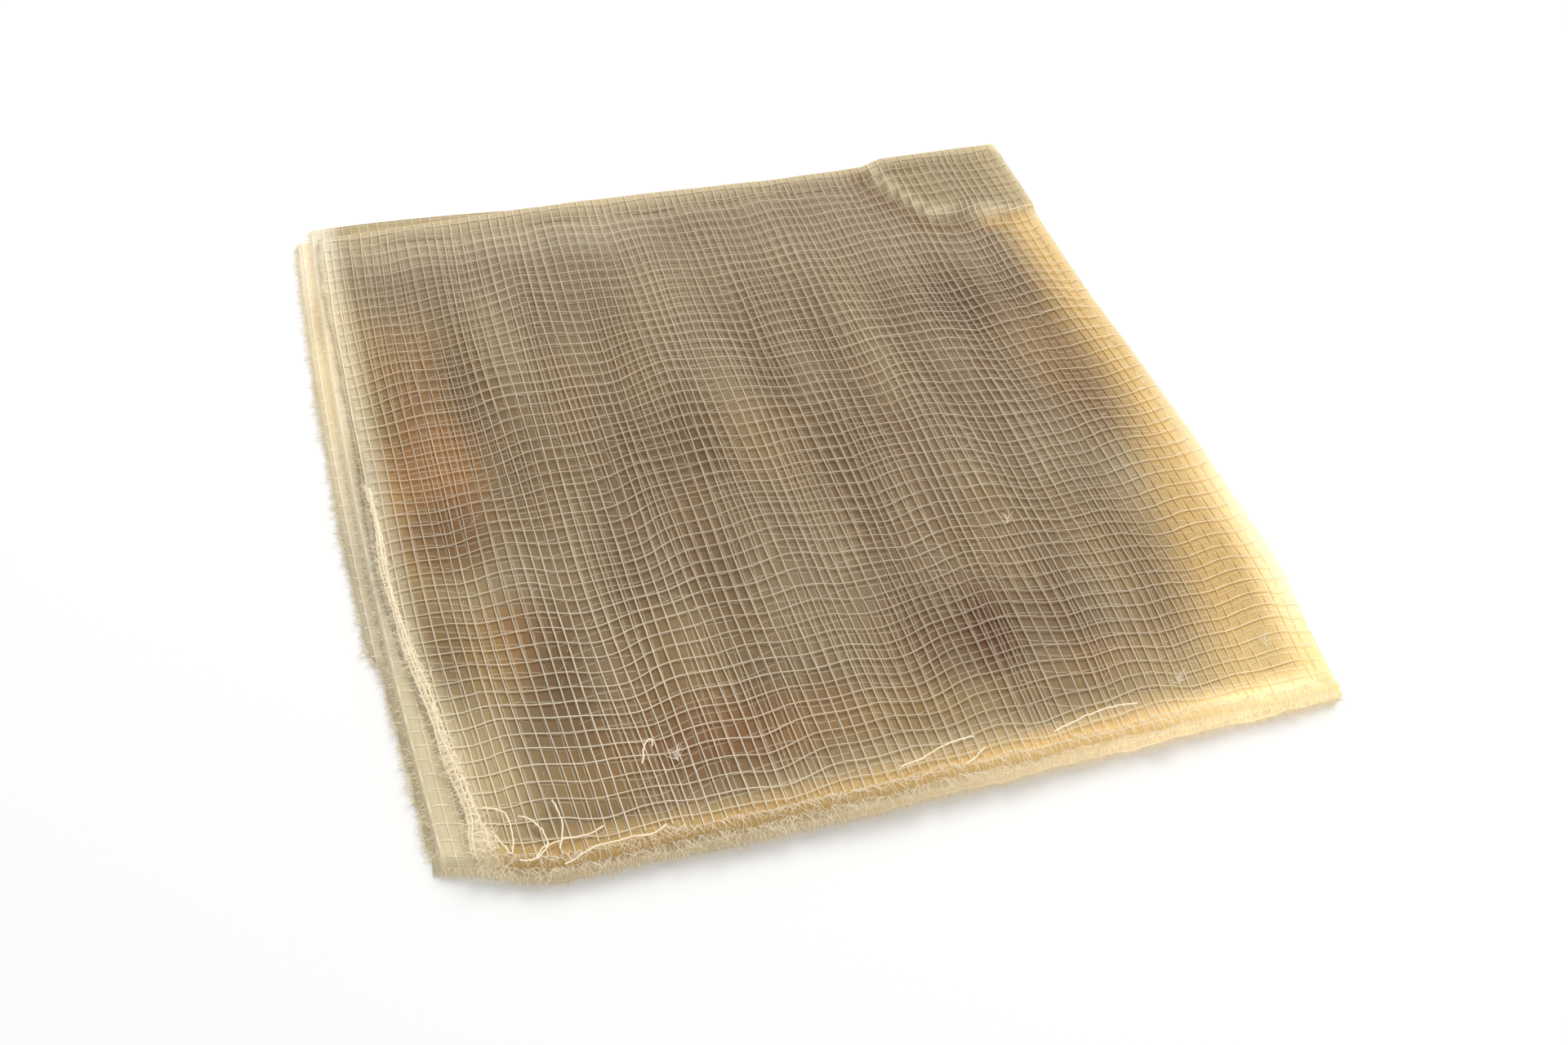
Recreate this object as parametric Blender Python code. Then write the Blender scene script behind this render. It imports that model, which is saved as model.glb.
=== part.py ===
"""A folded tack cloth: one sheet of open gauze, doubled over its back edge and then pleated
into four panels, so that eight plies lie flat on each other. Metres, +Z up, front at -Y."""

import math

import bmesh
import bpy

# The packet as it lies.
PACKET_WIDTH = 0.1118
PACKET_DEPTH = 0.1196
PLY = 0.00030
PLY_GAP = 0.00020

# The lower right pleat is the packet's right side, and the others stop short of the sides.
UPPER_RIGHT_PLEAT_INSET = 0.0006
LEFT_PLEAT_INSET = 0.0018
PLEAT_SEGMENTS = 4

# The outline isn't quite a rectangle. The back is drawn in at its middle and the other
# sides towards their ends.
RIGHT_FRONT_INSET = 0.0028
RIGHT_FRONT_REACH = 0.026
RIGHT_BACK_INSET = 0.0014
RIGHT_BACK_FROM = -0.0147
RIGHT_BACK_REACH = 0.045
LEFT_INSET = 0.0016
LEFT_WIDEST = 0.0113
FRONT_LEFT_INSET = 0.0040
FRONT_LEFT_REACH = 0.014
FRONT_RIGHT_INSET = 0.0030
FRONT_RIGHT_FROM = -0.0128
BACK_INSET = 0.0038
BACK_INSET_MIDDLE = 0.010
BACK_INSET_REACH = 0.062

# The sheet's two free side edges, on the left.
BOTTOM_EDGE_STEP = 0.0012
STEP_FROM_FRONT = 0.0326
STEP_RUN = 0.0012
TOP_EDGE_INSET = 0.0031
TOP_EDGE_SLANT = 0.0022
TOP_EDGE_SLANT_FROM = -0.0087
TOP_EDGE_SLANT_REACH = 0.050
TOP_EDGE_SWAY = 0.0003
TOP_EDGE_SWAY_LENGTH = 0.075
ROLLED_EDGE_WIDTH = 0.0022
ROLLED_EDGE_RISE = 0.0007
ROLLED_EDGE_LENGTH = 0.060
ROLLED_EDGE_FADE = 0.020

# The cut ends of the eight plies at the front, from the bottom ply up.
CUT_RECESS = (0.0004, 0.0, 0.0006, 0.0003, 0.0002, 0.0007, 0.0005, 0.0018)
CUT_WAVE = 0.00015
CUT_WAVE_LENGTH = 0.017

# The folds along the back, from the bottom panel up; the top one slants off to the left.
BACK_RECESS = (0.0009, 0.0, 0.0007, 0.0003)
TOP_BACK_SLANT = 0.0042
SLANT_REACH = 0.066

# The stack is fuller in the middle than at its edges, and thinnest at its front corners.
MIDDLE_SWELL = 0.34
LEFT_SWELL = -0.30
RIGHT_SWELL = -0.25
FRONT_SWELL = -0.24
BACK_SWELL = 0.20

# Soft creases that lift the top ply: x and y of the middle, length, width and rise.
CREASES = (
    (-0.0290, 0.0180, 0.080, 0.020, 0.0005),
    (-0.0060, -0.0050, 0.130, 0.022, 0.0007),
    (0.0170, 0.0200, 0.070, 0.020, 0.0004),
    (0.0300, -0.0420, 0.036, 0.034, 0.0004),
)
CREASE_SLANT = -0.06

# The tucked corner that stands up under the top ply at the back right.
TUCK_WIDTH = 0.0225
TUCK_DEPTH = 0.0190
TUCK_RISE = 0.0010
TUCK_SLOPE = 0.0050

# The top ply's weave: bands of ridges both ways and an opening in each mesh between them.
WARP_BANDS = 13
WEFT_BANDS = 11
RIDGES_IN_BAND = 2
RIDGE_WIDTH = 0.0019
RIDGE_RISE = 0.00016
CROSSING_RISE = 0.00016

# The margins around the weave, and the plain bays of the other plies.
LEFT_MARGIN = 0.0112
RIGHT_MARGIN = 0.0036
FRONT_MARGIN = 0.0040
BACK_MARGIN = 0.0072
WEAVE_HEM = 0.0008
WIDTH_BAYS = 5
DEPTH_BAYS = 4

CLOTH_COLOUR = (0.60, 0.47, 0.30, 1.0)
CLOTH_ROUGHNESS = 0.6

PANELS = 4
PITCH = PLY + PLY_GAP
OUTER = (PITCH + PLY) / 2
INNER = (PITCH - PLY) / 2
HALF_WIDTH = PACKET_WIDTH / 2
HALF_DEPTH = PACKET_DEPTH / 2
PLEAT_REACH = PITCH + OUTER
TOP_PLY_UNDERSIDE = (2 * PANELS - 1) * PITCH
PLY_BELOW_TOP = TOP_PLY_UNDERSIDE - PLY_GAP
CREST_LINES = 2 * RIDGES_IN_BAND + 1
PLAIN_LINES = 2


def spread(first, last, bays):
    """Evenly spaced values from first to last."""
    return [first + (last - first) * i / bays for i in range(bays + 1)]


WEAVE_LEFT = LEFT_MARGIN - HALF_WIDTH
WEAVE_RIGHT = HALF_WIDTH - RIGHT_MARGIN
WEAVE_FRONT = FRONT_MARGIN - HALF_DEPTH
WEAVE_BACK = HALF_DEPTH - BACK_MARGIN
X_LINES = spread(WEAVE_LEFT, WEAVE_RIGHT, WIDTH_BAYS)
STEP_FRONT = STEP_FROM_FRONT - HALF_DEPTH
STEP_BACK = STEP_FRONT + STEP_RUN
Y_LINES = [WEAVE_FRONT, STEP_FRONT, *spread(STEP_BACK, WEAVE_BACK, DEPTH_BAYS)]


def smooth(value):
    """A soft step from 0 to 1."""
    t = min(max(value, 0.0), 1.0)
    return t * t * (3 - 2 * t)


def bump(value):
    """A soft hump of height 1 that ends at -1 and 1."""
    return smooth(1 - abs(value))


def swell(x, y):
    """How much fuller than flat the stack is; a sum, so that each bay stays a plane."""
    middle = MIDDLE_SWELL * (1 - (x / HALF_WIDTH) ** 2)
    across = (LEFT_SWELL + RIGHT_SWELL + (RIGHT_SWELL - LEFT_SWELL) * x / HALF_WIDTH) / 2
    along = (FRONT_SWELL + BACK_SWELL + (BACK_SWELL - FRONT_SWELL) * y / HALF_DEPTH) / 2
    return 1 + middle + across + along


def swell_in_bays(x, y):
    """The swell read along straight lines between the plies' own grid lines."""
    lines = [-HALF_WIDTH, *X_LINES, HALF_WIDTH]
    for low, high in zip(lines, lines[1:]):
        if x <= high or high == lines[-1]:
            share = (x - low) / (high - low)
            return swell(low, y) * (1 - share) + swell(high, y) * share
    return swell(x, y)


def crease_lift(x, y):
    total = 0.0
    for middle_x, middle_y, length, width, rise in CREASES:
        away = x - middle_x - CREASE_SLANT * (y - middle_y)
        total += rise * bump(2 * away / width) * bump(2 * (y - middle_y) / length)
    return total


def tuck_lift(x, y):
    inside = min(x - HALF_WIDTH + TUCK_WIDTH, y - HALF_DEPTH + TUCK_DEPTH)
    return TUCK_RISE * smooth(inside / TUCK_SLOPE)


def rolled_edge_lift(x, y):
    from_edge = (x - top_edge(y)) / ROLLED_EDGE_WIDTH
    along = smooth((ROLLED_EDGE_LENGTH - HALF_DEPTH - y) / ROLLED_EDGE_FADE)
    return ROLLED_EDGE_RISE * bump(from_edge) * along


def share_above(z, ply_top):
    """Goes from 0 to 1 over the gap above a ply."""
    return min(max((z - ply_top) / PLY_GAP, 0.0), 1.0)


def side_inset(x, y):
    """How far the left or the right side is drawn in at y."""
    if x < 0:
        return LEFT_INSET * ((y - LEFT_WIDEST) / HALF_DEPTH) ** 2
    front = RIGHT_FRONT_INSET * smooth(1 - (y + HALF_DEPTH) / RIGHT_FRONT_REACH)
    return front + RIGHT_BACK_INSET * smooth((y - RIGHT_BACK_FROM) / RIGHT_BACK_REACH)


def end_inset(x, y):
    """How far the front or the back is drawn in at x."""
    if y > 0:
        return BACK_INSET * bump((x - BACK_INSET_MIDDLE) / BACK_INSET_REACH)
    corner = FRONT_LEFT_INSET * smooth(1 - (x + HALF_WIDTH) / FRONT_LEFT_REACH)
    slant = (x - FRONT_RIGHT_FROM) / (HALF_WIDTH - FRONT_RIGHT_FROM)
    return corner + FRONT_RIGHT_INSET * max(slant, 0.0)


def settle(x, y, z):
    """Moves a point of the flat stack to where the soft stack holds it. Z stays 0 below."""
    lift = crease_lift(x, y) + tuck_lift(x, y) + rolled_edge_lift(x, y)
    return (
        x * (1 - side_inset(x, y) / HALF_WIDTH),
        y * (1 - end_inset(x, y) / HALF_DEPTH),
        z * swell_in_bays(x, y) + share_above(z, PLY_BELOW_TOP) * lift,
    )


def bottom_edge(y):
    return BOTTOM_EDGE_STEP * (1 - smooth((y - STEP_FRONT) / STEP_RUN)) - HALF_WIDTH


def top_edge(y):
    sway = TOP_EDGE_SWAY * math.sin(math.tau * y / TOP_EDGE_SWAY_LENGTH)
    slant = TOP_EDGE_SLANT * smooth((TOP_EDGE_SLANT_FROM - y) / TOP_EDGE_SLANT_REACH)
    return TOP_EDGE_INSET - HALF_WIDTH + sway + slant


def cut_end(ply, x):
    """Y of a ply's cut end at the front. Plies count up from the bottom, and a pleat's
    fraction runs from one ply to the next."""
    low = min(int(ply), len(CUT_RECESS) - 1)
    high = min(low + 1, len(CUT_RECESS) - 1)
    recess = CUT_RECESS[low] + (CUT_RECESS[high] - CUT_RECESS[low]) * (ply - low)
    return recess - HALF_DEPTH + CUT_WAVE * (1 + math.sin(math.tau * x / CUT_WAVE_LENGTH + ply))


def back_fold(panel, x):
    """Y of the outside of a panel's fold at the back, with panels from 0 to 3."""
    low = min(int(panel), PANELS - 1)
    high = min(low + 1, PANELS - 1)
    recess = BACK_RECESS[low] + (BACK_RECESS[high] - BACK_RECESS[low]) * (panel - low)
    top_share = max(panel - (PANELS - 2), 0.0)
    slant = TOP_BACK_SLANT * smooth((SLANT_REACH - x - HALF_WIDTH) / SLANT_REACH)
    return HALF_DEPTH - recess - slant * top_share


def stations():
    """The doubled sheet's middle line from its bottom free edge to its top one. Each
    station is x (None at a free edge), z, the normal's x and z, and the panel."""
    right = [HALF_WIDTH - PLEAT_REACH, HALF_WIDTH - PLEAT_REACH - UPPER_RIGHT_PLEAT_INSET]
    left = LEFT_PLEAT_INSET - HALF_WIDTH + PLEAT_REACH
    found = []
    for panel in range(PANELS):
        goes_right = panel % 2 == 0
        height = OUTER + 2 * PITCH * panel
        side = 1 if goes_right else -1
        lines = X_LINES if goes_right else X_LINES[::-1]
        before = None if panel == 0 else (left if goes_right else right[panel // 2])
        after = None if panel == PANELS - 1 else (right[panel // 2] if goes_right else left)
        found += [(x, height, 0.0, side, panel) for x in (before, *lines, after)]
        if after is None:
            continue
        for step in range(1, PLEAT_SEGMENTS):
            angle = math.pi * (step / PLEAT_SEGMENTS - 0.5)
            out = PITCH * math.cos(angle)
            found.append((
                after + side * out,
                height + PITCH * (1 + math.sin(angle)),
                -math.cos(angle),
                -side * math.sin(angle),
                panel + step / PLEAT_SEGMENTS,
            ))
    return found


def ply_counts(panel):
    """The plies, counted from the bottom, of the sheet's first and second half there."""
    first = (0, 3, 4, 7)
    second = (1, 2, 5, 6)
    low = min(int(panel), PANELS - 1)
    high = min(low + 1, PANELS - 1)
    share = panel - low
    return (
        first[low] + (first[high] - first[low]) * share,
        second[low] + (second[high] - second[low]) * share,
    )


def ring(station, top_panel):
    """The doubled sheet's outline at a station: out along the first half, round the back
    fold, home along the second half, and the same again on the inside."""
    x, height, normal_x, normal_z, panel = station
    edge = top_edge if top_panel else bottom_edge
    near_x = x if x is not None else edge(0.0)
    counts = ply_counts(panel)
    fold_centre = back_fold(panel, near_x) - OUTER

    def place(offset, y):
        middle = x if x is not None else edge(y)
        return settle(middle + normal_x * offset, y, height + normal_z * offset)

    def half(offset, ply):
        return [place(offset, y) for y in (cut_end(ply, near_x), *Y_LINES, fold_centre)]

    def turn(radius):
        angles = [math.pi * (i / PLEAT_SEGMENTS - 0.5) for i in range(1, PLEAT_SEGMENTS)]
        return [place(radius * math.sin(a), fold_centre + radius * math.cos(a)) for a in angles]

    outside = half(-OUTER, counts[0]) + turn(OUTER) + half(OUTER, counts[1])[::-1]
    inside = half(-INNER, counts[0]) + turn(INNER) + half(INNER, counts[1])[::-1]
    return outside, inside


def quads(mesh, rows, skip=lambda i, j: False):
    """Faces between neighbouring rows of vertices."""
    for i, (row, other) in enumerate(zip(rows, rows[1:])):
        for j in range(len(row) - 1):
            if not skip(i, j):
                mesh.faces.new((row[j], row[j + 1], other[j + 1], other[j]))


def zip_sides(mesh, coarse, fine):
    """Triangles between two lines of vertices that run side by side."""
    i = j = 0
    while i < len(coarse) - 1 or j < len(fine) - 1:
        coarse_share = (i + 1) / (len(coarse) - 1)
        fine_share = (j + 1) / (len(fine) - 1)
        if j == len(fine) - 1 or (i < len(coarse) - 1 and coarse_share <= fine_share):
            mesh.faces.new((coarse[i], coarse[i + 1], fine[j]))
            i += 1
        else:
            mesh.faces.new((coarse[i], fine[j + 1], fine[j]))
            j += 1


def border(rows):
    """The four sides of a rectangle of vertices, corner to corner in turn."""
    first = [row[0] for row in rows]
    last = [row[-1] for row in rows]
    return rows[0], last, rows[-1][::-1], first[::-1]


def band_lines(first, last, bands, steps):
    """Lines across the weave: each band of ridges has one at both edges and, with more
    than one step, at every ridge's crest and foot between."""
    half = RIDGES_IN_BAND * RIDGE_WIDTH / 2
    middles = spread(first + WEAVE_HEM + half, last - WEAVE_HEM - half, bands - 1)
    return [middle + offset for middle in middles for offset in spread(-half, half, steps)]


def ridge_height(i, j):
    """The rise of the top face at line i across and j along. In a band every other line is
    a crest, and at a crossing the warp and the weft pass over each other by turns."""
    on_warp = i % CREST_LINES % 2 == 1
    on_weft = j % CREST_LINES % 2 == 1
    warp_ridge = i // CREST_LINES * RIDGES_IN_BAND + i % CREST_LINES // 2
    weft_ridge = j // CREST_LINES * RIDGES_IN_BAND + j % CREST_LINES // 2
    warp_is_over = (warp_ridge + weft_ridge) % 2 == 0
    if on_warp and on_weft:
        return RIDGE_RISE + CROSSING_RISE
    if on_warp:
        return RIDGE_RISE + (CROSSING_RISE if warp_is_over else 0.0)
    if on_weft:
        return RIDGE_RISE + (0.0 if warp_is_over else CROSSING_RISE)
    return 0.0


def weave_face(mesh, height, lines):
    """One face of the weave as columns of vertices, with an opening in every mesh. Each
    band has that many lines; a plain band has two."""
    across = band_lines(WEAVE_LEFT, WEAVE_RIGHT, WARP_BANDS, lines - 1)
    along = band_lines(WEAVE_FRONT, WEAVE_BACK, WEFT_BANDS, lines - 1)
    columns = []
    for i, x in enumerate(across):
        column = []
        for j, y in enumerate(along):
            rise = ridge_height(i, j) if lines == CREST_LINES else 0.0
            px, py, pz = settle(x, y, height)
            column.append(mesh.verts.new((px, py, pz + rise)))
        columns.append(column)
    quads(mesh, columns, lambda i, j: i % lines == lines - 1 and j % lines == lines - 1)
    return columns


def hang_openings(mesh, upper, lower):
    """The walls of the openings between the weave's top face and its underside."""
    corners = ((0, 0), (1, 0), (1, 1), (0, 1))

    def around(columns, lines, i, j):
        return [columns[lines * i - 1 + a][lines * j - 1 + b] for a, b in corners]

    for i in range(1, WARP_BANDS):
        for j in range(1, WEFT_BANDS):
            above = around(upper, CREST_LINES, i, j)
            below = around(lower, PLAIN_LINES, i, j)
            for k in range(4):
                mesh.faces.new((above[k - 1], above[k], below[k], below[k - 1]))


def folded_sheet():
    mesh = bmesh.new()
    path = stations()
    outside = []
    inside = []
    for index, station in enumerate(path):
        outer_points, inner_points = ring(station, index == len(path) - 1)
        outside.append([mesh.verts.new(point) for point in outer_points])
        inside.append([mesh.verts.new(point) for point in inner_points])

    last_line = len(path) - 2
    first_line = last_line - WIDTH_BAYS

    def in_weave(i, j):
        return first_line <= i < last_line and 1 <= j < len(Y_LINES)

    quads(mesh, outside, in_weave)
    quads(mesh, inside, in_weave)
    for end in (0, -1):
        quads(mesh, [outside[end], inside[end]])
    for front in (0, -1):
        quads(mesh, [[row[front] for row in outside], [row[front] for row in inside]])

    upper = weave_face(mesh, TOP_PLY_UNDERSIDE + PLY, CREST_LINES)
    lower = weave_face(mesh, TOP_PLY_UNDERSIDE, PLAIN_LINES)
    hang_openings(mesh, upper, lower)
    for rows, columns in ((outside, upper), (inside, lower)):
        window = [row[1:len(Y_LINES) + 1] for row in rows[first_line:last_line + 1]][::-1]
        for coarse, fine in zip(border(window), border(columns)):
            zip_sides(mesh, coarse, fine)

    bmesh.ops.recalc_face_normals(mesh, faces=mesh.faces)
    return mesh


def cloth_material():
    material = bpy.data.materials.new("waxed_gauze")
    material.use_nodes = True
    shader = material.node_tree.nodes["Principled BSDF"]
    shader.inputs["Base Color"].default_value = CLOTH_COLOUR
    shader.inputs["Roughness"].default_value = CLOTH_ROUGHNESS
    shader.inputs["Metallic"].default_value = 0.0
    material.diffuse_color = CLOTH_COLOUR
    return material


def main():
    for item in list(bpy.data.objects):
        bpy.data.objects.remove(item, do_unlink=True)
    mesh = folded_sheet()
    data = bpy.data.meshes.new("folded_cloth")
    mesh.to_mesh(data)
    mesh.free()
    data.materials.append(cloth_material())
    cloth = bpy.data.objects.new("folded_cloth", data)
    bpy.context.scene.collection.objects.link(cloth)


main()
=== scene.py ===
# %% [markdown]
# # A folded tack cloth
#
# One sheet of open cotton gauze that holds a tacky wax. It is doubled over its back edge and
# then pleated into four panels, so eight plies lie on each other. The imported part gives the
# sheet as one solid. Here the same fold is worked out again as a surface without thickness,
# and everything that is seen is laid on it: the waxy body of the lower plies, the yarns of
# the weave, the rolled and frayed edge on the left, loose ends and lint.

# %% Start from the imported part
import math

import bpy
import numpy as np
from mathutils import Matrix, Vector


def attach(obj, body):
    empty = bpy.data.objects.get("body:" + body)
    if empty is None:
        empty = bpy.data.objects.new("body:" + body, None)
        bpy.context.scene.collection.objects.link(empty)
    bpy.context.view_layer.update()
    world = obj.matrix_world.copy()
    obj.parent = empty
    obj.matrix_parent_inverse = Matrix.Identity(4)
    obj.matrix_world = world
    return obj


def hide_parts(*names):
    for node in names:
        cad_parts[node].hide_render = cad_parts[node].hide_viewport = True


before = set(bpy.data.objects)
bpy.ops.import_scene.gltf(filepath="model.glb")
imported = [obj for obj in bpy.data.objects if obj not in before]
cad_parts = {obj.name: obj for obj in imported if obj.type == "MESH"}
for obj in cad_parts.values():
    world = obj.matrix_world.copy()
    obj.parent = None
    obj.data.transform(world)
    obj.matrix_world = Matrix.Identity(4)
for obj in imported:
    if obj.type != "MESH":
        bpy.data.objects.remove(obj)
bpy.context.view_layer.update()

# %% [markdown]
# ## Sizes
#
# The packet's sizes are those of the part, in metres. The weave's are read from the photo:
# about 82 warps across the packet and 50 wefts along it, which is about 19 by 11 yarns to
# the inch, a little more open than usual for this gauze.

# %% Sizes of the fold
PACKET_WIDTH = 0.1118
PACKET_DEPTH = 0.1196
PLY = 0.00030
PITCH = 0.00050
PANELS = 4
HALF_WIDTH = PACKET_WIDTH / 2
HALF_DEPTH = PACKET_DEPTH / 2
OUTER = (PITCH + PLY) / 2
RIGHT_PLEATS = (HALF_WIDTH - PITCH - OUTER, HALF_WIDTH - PITCH - OUTER - 0.0006)
LEFT_PLEAT = 0.0018 - HALF_WIDTH + PITCH + OUTER
STEP_FRONT = 0.0326 - HALF_DEPTH
STEP_RUN = 0.0012
BOTTOM_EDGE_STEP = 0.0012
TOP_EDGE_INSET = 0.0031
TOP_EDGE_SLANT = 0.0022
CUT_RECESS = (0.0004, 0.0, 0.0006, 0.0003, 0.0002, 0.0007, 0.0005, 0.0018)
CUT_WAVE = 0.00015
BACK_RECESS = (0.0009, 0.0, 0.0007, 0.0003)
TOP_BACK_SLANT = 0.0042
SLANT_REACH = 0.066
BELOW_TOP_PAIR = 5 * PITCH + PLY
PLEAT_LENGTH = math.pi * PITCH
TURN_LENGTH = PLEAT_LENGTH / 2

# %% Sizes of the weave
WARP_PITCH = 0.001317
WEFT_PITCH = 0.00234
YARN_RADIUS = 0.000078
YARN_WAVE = 0.00008
FILM_THICKNESS = 0.00032
YARN_OUT = FILM_THICKNESS / 2 - 0.00003
YARN_SIDES, HAIR_SIDES, STRAND_SIDES = 4, 3, 5
BEYOND = 0.0020


# %% [markdown]
# ## The fold as a map from the flat sheet
#
# On the flat sheet, s runs across from the bottom free edge to the top one and q runs from
# the first cut end over the back fold to the second. Every point of the sheet has one place
# in the packet, so yarns, film and lint can all be laid out flat and then folded.
# Pleats are half circles about the gap between two pairs of plies.

# %% Lengths along the flat sheet
def stretches():
    """Start on the sheet, length, kind and panel of each straight run and each pleat."""
    ends = (-HALF_WIDTH, RIGHT_PLEATS[0], LEFT_PLEAT, RIGHT_PLEATS[1],
            TOP_EDGE_INSET - HALF_WIDTH)
    found, start = [], 0.0
    for panel in range(PANELS):
        run = abs(ends[panel + 1] - ends[panel])
        found.append((start, run, "panel", panel, ends[panel]))
        start += run
        if panel < PANELS - 1:
            found.append((start, PLEAT_LENGTH, "pleat", panel, ends[panel + 1]))
            start += PLEAT_LENGTH
    return found, start


STRETCHES, SHEET_WIDTH = stretches()
HALF_LENGTH = PACKET_DEPTH - OUTER
SHEET_LENGTH = 2 * HALF_LENGTH + TURN_LENGTH
pleats = [(item[0], item[0] + PLEAT_LENGTH) for item in STRETCHES if item[2] == "pleat"]
TOP_PANEL_START = STRETCHES[-1][0]
print("flat sheet", round(SHEET_WIDTH, 4), "by", round(SHEET_LENGTH, 4))


# %% Soft steps
def smooth(value):
    """A soft step from 0 to 1."""
    t = np.clip(value, 0.0, 1.0)
    return t * t * (3 - 2 * t)


def bump(value):
    """A soft hump of height 1 that ends at -1 and 1."""
    return smooth(1 - np.abs(value))


def ripple(x, y, length, seed):
    """A slow wave over the plan with no clear direction, between -1 and 1."""
    total = 0.0
    for k in range(4):
        turn = seed * 1.7 + k * 2.4
        along = x * math.cos(turn) + y * math.sin(turn)
        total = total + np.sin(math.tau * along / (length * (1 + 0.23 * k)) + seed * (k + 1))
    return total / 4


# %% Edges of the sheet in the packet
def bottom_edge(y):
    return BOTTOM_EDGE_STEP * (1 - smooth((y - STEP_FRONT) / STEP_RUN)) - HALF_WIDTH


def top_edge(y):
    slant = TOP_EDGE_SLANT * smooth((-0.0087 - y) / 0.050)
    return TOP_EDGE_INSET - HALF_WIDTH + slant + 0.0003 * np.sin(math.tau * y / 0.075)


def cut_end(ply, x):
    recess = np.interp(ply, range(len(CUT_RECESS)), CUT_RECESS)
    return recess - HALF_DEPTH + CUT_WAVE * (1 + np.sin(math.tau * x / 0.017 + ply))


def back_fold(panel, x):
    recess = np.interp(panel, range(PANELS), BACK_RECESS)
    slant = TOP_BACK_SLANT * smooth((SLANT_REACH - x - HALF_WIDTH) / SLANT_REACH)
    return HALF_DEPTH - recess - slant * np.maximum(panel - 2, 0.0)


# %% [markdown]
# ## How the stack settles
#
# A real stack isn't flat: it is fuller in the middle, the top ply stands up in soft creases,
# a corner is tucked under it at the back right, and its left front edge is rolled. These are
# the part's own lifts, with finer ones of a tenth of a millimetre or two added, which only
# turn the light a little.

# %% Relief
CREASES = (
    (-0.0290, 0.0180, 0.080, 0.020, 0.0005),
    (-0.0060, -0.0050, 0.130, 0.022, 0.0007),
    (0.0170, 0.0200, 0.070, 0.020, 0.0004),
    (0.0300, -0.0420, 0.036, 0.034, 0.0004),
)
CREASE_SLANT = -0.06
TUCK = (0.0204, 0.0165)
TUCK_ROUND = 0.0045
TUCK_RISE = 0.0010
TUCK_SLOPE = 0.0020


def crease_lift(x, y):
    total = 0.0
    for middle_x, middle_y, length, width, rise in CREASES:
        away = x - middle_x - CREASE_SLANT * (y - middle_y)
        total = total + rise * bump(2 * away / width) * bump(2 * (y - middle_y) / length)
    return total


def tuck_depth(x, y):
    """How far inside the tucked corner's outline a point lies. Its inner corner is round."""
    right, back = x - HALF_WIDTH + TUCK[0], y - HALF_DEPTH + TUCK[1]
    across = right + 0.25 * back - 0.0007 * np.sin(y / 0.0023)
    along = back + 0.15 * right + 0.0004 * np.sin(x / 0.0019)
    near = np.hypot(np.minimum(across - TUCK_ROUND, 0), np.minimum(along - TUCK_ROUND, 0))
    return np.minimum(np.minimum(across, along), TUCK_ROUND - near)


def side_inset(x, y):
    """How far the left or the right side is drawn in at y."""
    left = 0.0016 * ((y - 0.0113) / HALF_DEPTH) ** 2
    front = 0.0028 * smooth(1 - (y + HALF_DEPTH) / 0.026)
    return np.where(x < 0, left, front + 0.0014 * smooth((y + 0.0147) / 0.045))


def end_inset(x, y):
    """How far the front or the back is drawn in at x."""
    back = 0.0038 * bump((x - 0.010) / 0.062)
    corner = 0.0040 * smooth(1 - (x + HALF_WIDTH) / 0.014)
    slant = 0.0030 * np.maximum((x + 0.0128) / (HALF_WIDTH + 0.0128), 0)
    return np.where(y > 0, back, corner + slant)


def settle(x, y, z):
    """Moves points of the flat stack to where the soft stack holds them."""
    share = np.clip((z - BELOW_TOP_PAIR) / (PITCH - PLY), 0, 1)
    swell = 1 + 0.34 * (1 - (x / HALF_WIDTH) ** 2) - 0.275 + 0.025 * x / HALF_WIDTH \
        - 0.02 + 0.22 * y / HALF_DEPTH
    fine = 0.00013 * ripple(x, y, 0.019, 3) + 0.00007 * ripple(x, y, 0.007, 8)
    lift = crease_lift(x, y) + TUCK_RISE * smooth(tuck_depth(x, y) / TUCK_SLOPE)
    return (x * (1 - side_inset(x, y) / HALF_WIDTH),
            y * (1 - end_inset(x, y) / HALF_DEPTH),
            z * swell + share * (lift + fine))


# %% From flat sheet to packet
def across_sheet(s):
    """x, height, normal and panel of the doubled sheet's middle line."""
    x, height, normal_x, normal_z, panel = (np.zeros_like(s) for _ in range(5))
    last = len(STRETCHES) - 1
    for index, (start, length, kind, number, corner) in enumerate(STRETCHES):
        low = -np.inf if index == 0 else start
        high = np.inf if index == last else start + length
        here = (s >= low) & (s < high)
        side = 1 if number % 2 == 0 else -1
        base = OUTER + 2 * PITCH * number
        if kind == "panel":
            x[here] = corner + side * (s[here] - start)
            height[here] = base
            normal_z[here] = side
            panel[here] = number
        else:
            angle = (s[here] - start) / PITCH - math.pi / 2
            x[here] = corner + side * PITCH * np.cos(angle)
            height[here] = base + PITCH * (1 + np.sin(angle))
            normal_x[here] = -np.cos(angle)
            normal_z[here] = -side * np.sin(angle)
            panel[here] = number + (s[here] - start) / length
    return x, height, normal_x, normal_z, panel


def ply_number(panel, second_half):
    """The ply counted from the bottom, from 0 to 7, with a pleat's share in between."""
    first = np.interp(panel, range(PANELS), (0, 3, 4, 7))
    second = np.interp(panel, range(PANELS), (1, 2, 5, 6))
    return np.where(second_half, second, first)


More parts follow.
